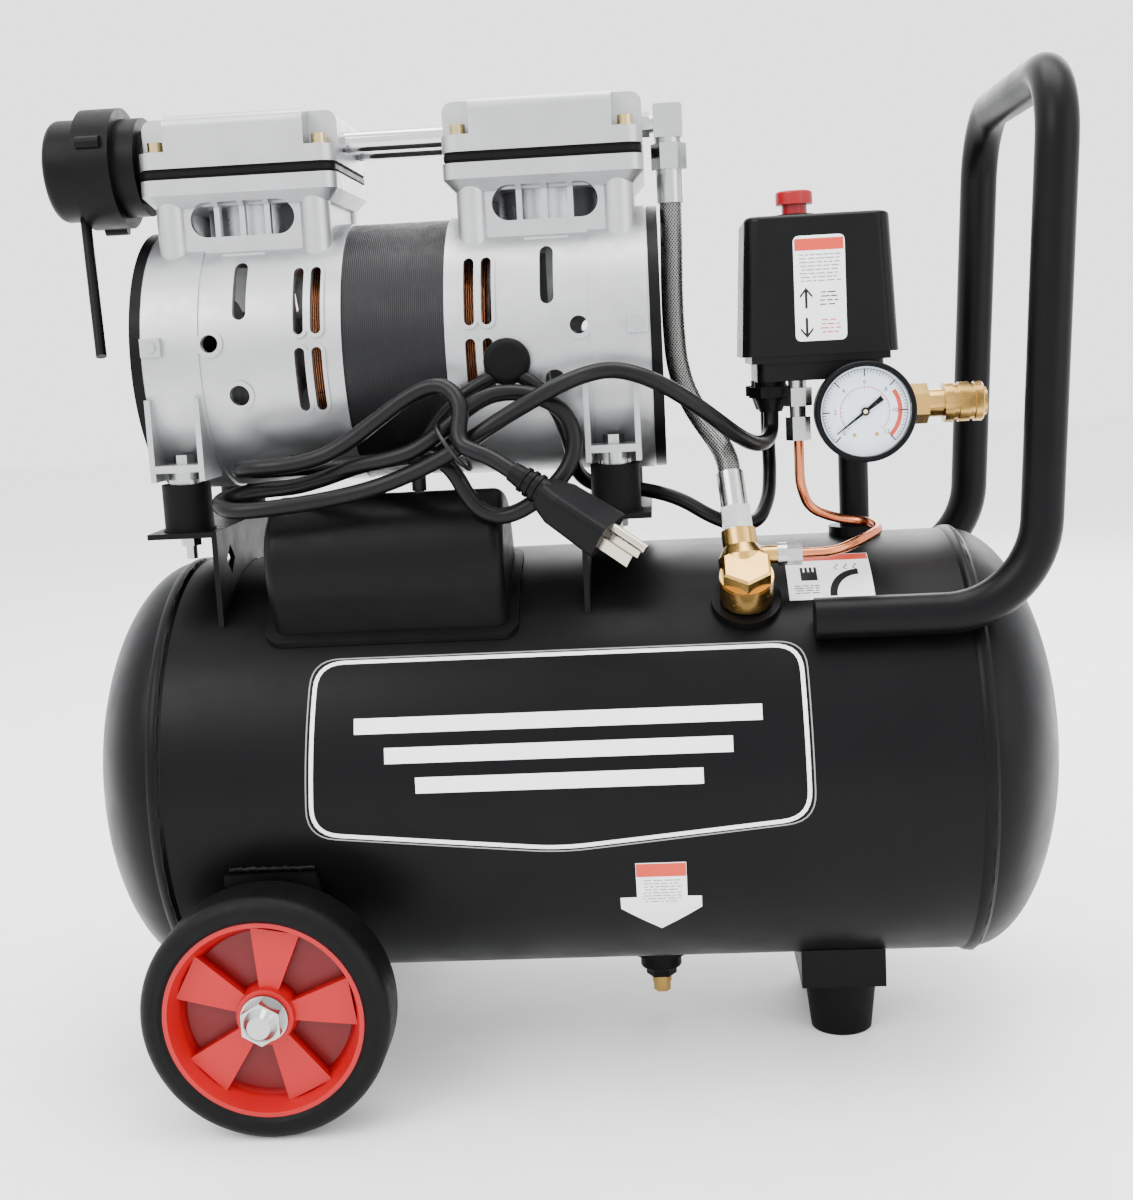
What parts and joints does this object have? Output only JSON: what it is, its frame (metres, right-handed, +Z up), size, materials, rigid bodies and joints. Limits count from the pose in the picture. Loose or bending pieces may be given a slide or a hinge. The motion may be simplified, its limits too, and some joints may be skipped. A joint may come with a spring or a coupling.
{
  "type": "portable air compressor",
  "caption": "Portable horizontal-tank air compressor with a twin-cylinder oil-free pump, wheels, tube handle, pressure switch, gauge and quick coupler.",
  "frame": {"origin": "on the ground, under the middle of the tank", "axes": "+X along the tank towards the handle, +Y towards the back, +Z up"},
  "size_m": [0.554, 0.345, 0.547],
  "materials": {
    "tank_black": "semi-gloss black powder coat",
    "bracket_black": "satin black powder coat",
    "cast_aluminium": "as-cast silver, fine grain",
    "zinc_steel": "zinc plated",
    "shaft_steel": "turned steel",
    "chrome_pipe": "polished",
    "braid": "woven stainless braid",
    "brass": "turned brass",
    "copper": "drawn copper tube",
    "winding": "lacquered copper wire",
    "lamination": "black varnished laminations",
    "rubber": "matt black rubber",
    "tyre": "moulded black tyre",
    "hub_red": "moulded red plastic",
    "button_red": "moulded red plastic",
    "plastic_black": "moulded black plastic",
    "switch_black": "semi-gloss black plastic",
    "gasket": "black gasket",
    "dial_white": "printed white dial",
    "needle_black": "black",
    "lens": "clear",
    "cord_black": "black cord jacket",
    "seal_white": "filled seal compound"
  },
  "bodies": {
    "frame": {"tank_shell": "tank_black", "tank_ends": "tank_black", "handle": "tank_black", "motor_saddles": "bracket_black", "wheel_brackets": "bracket_black", "axle_bolts": "zinc_steel", "foot_bracket": "bracket_black", "rubber_feet": "rubber", "isolators": "rubber", "isolator_studs": "zinc_steel", "motor_housing_left": "cast_aluminium", "motor_housing_right": "cast_aluminium", "fan_guards": "plastic_black", "stator_core": "lamination", "stator_windings": "winding", "main_bearings": "shaft_steel", "cylinder_sleeves": "shaft_steel", "head_gaskets": "gasket", "valve_plates": "bracket_black", "head_covers": "cast_aluminium", "head_bolts": "zinc_steel", "crossover_pipes": "chrome_pipe", "intake_filter": "plastic_black", "outlet_fittings": "zinc_steel", "discharge_hose": "braid", "check_valve": "brass", "unloader_tube": "copper", "unloader_valve": "zinc_steel", "standpipe": "bracket_black", "switch_base": "switch_black", "switch_cover": "switch_black", "cable_glands": "plastic_black", "gauge_case": "bracket_black", "gauge_dial": "dial_white", "gauge_lens": "lens", "coupler_body": "brass", "safety_valve": "brass", "capacitor_cover": "plastic_black", "lead_grommet": "rubber", "motor_leads": "cord_black", "power_cord": "cord_black", "cord_hank": "cord_black", "cord_tail": "cord_black", "power_plug": "plastic_black", "drain_body": "bracket_black"},
    "wheel_near": {"wheel_hub_near": "hub_red", "tyre_near": "tyre"},
    "wheel_far": {"wheel_hub_far": "hub_red", "tyre_far": "tyre"},
    "rotor": {"rotor_core": "shaft_steel", "motor_shaft": "shaft_steel", "cooling_fans": "plastic_black"},
    "piston_left": {"piston_left": "cast_aluminium"},
    "piston_right": {"piston_right": "cast_aluminium"},
    "check_poppet": {"check_valve_poppet": "seal_white"},
    "switch_button": {"switch_button": "button_red"},
    "gauge_needle": {"gauge_needle": "needle_black"},
    "coupler_sleeve": {"coupler_sleeve": "brass"},
    "safety_pull": {"safety_pull": "zinc_steel"},
    "drain_screw": {"drain_screw": "brass"}
  },
  "joints": [
    {"name": "wheel_near_spin", "type": "hinge", "parent": "frame", "child": "wheel_near", "pos_m": [-0.161, -0.1465, 0.066], "axis": [0, 1, 0], "continuous": true},
    {"name": "wheel_far_spin", "type": "hinge", "parent": "frame", "child": "wheel_far", "pos_m": [-0.161, 0.1465, 0.066], "axis": [0, 1, 0], "continuous": true},
    {"name": "rotor_spin", "type": "hinge", "parent": "frame", "child": "rotor", "pos_m": [-0.084, 0, 0.405], "axis": [1, 0, 0], "continuous": true},
    {"name": "piston_left_stroke", "type": "slide", "parent": "frame", "child": "piston_left", "axis": [0, 0, 1], "range_m": [-0.016, 0]},
    {"name": "piston_right_stroke", "type": "slide", "parent": "frame", "child": "piston_right", "axis": [0, 0, 1], "range_m": [0, 0.016]},
    {"name": "check_poppet_lift", "type": "slide", "parent": "frame", "child": "check_poppet", "axis": [0, -0.6157, 0.788], "range_m": [0, 0.003]},
    {"name": "switch_button_press", "type": "slide", "parent": "frame", "child": "switch_button", "axis": [0, 0, 1], "range_m": [-0.005, 0]},
    {"name": "gauge_needle_turn", "type": "hinge", "parent": "frame", "child": "gauge_needle", "pos_m": [0.1675, -0.0615, 0.3595], "axis": [0, 1, 0], "range_deg": [0, 270]},
    {"name": "coupler_sleeve_pull", "type": "slide", "parent": "frame", "child": "coupler_sleeve", "axis": [1, 0, 0], "range_m": [-0.004, 0]},
    {"name": "safety_ring_pull", "type": "slide", "parent": "frame", "child": "safety_pull", "axis": [0, 1, 0], "range_m": [0, 0.003]},
    {"name": "drain_screw_turn", "type": "hinge", "parent": "frame", "child": "drain_screw", "pos_m": [0.044, 0, 0.02], "axis": [0, 0, 1], "range_deg": [0, 720]}
  ],
  "couplings": [
    {"joint": "piston_right_stroke", "follows": "piston_left_stroke", "ratio": -1}
  ]
}
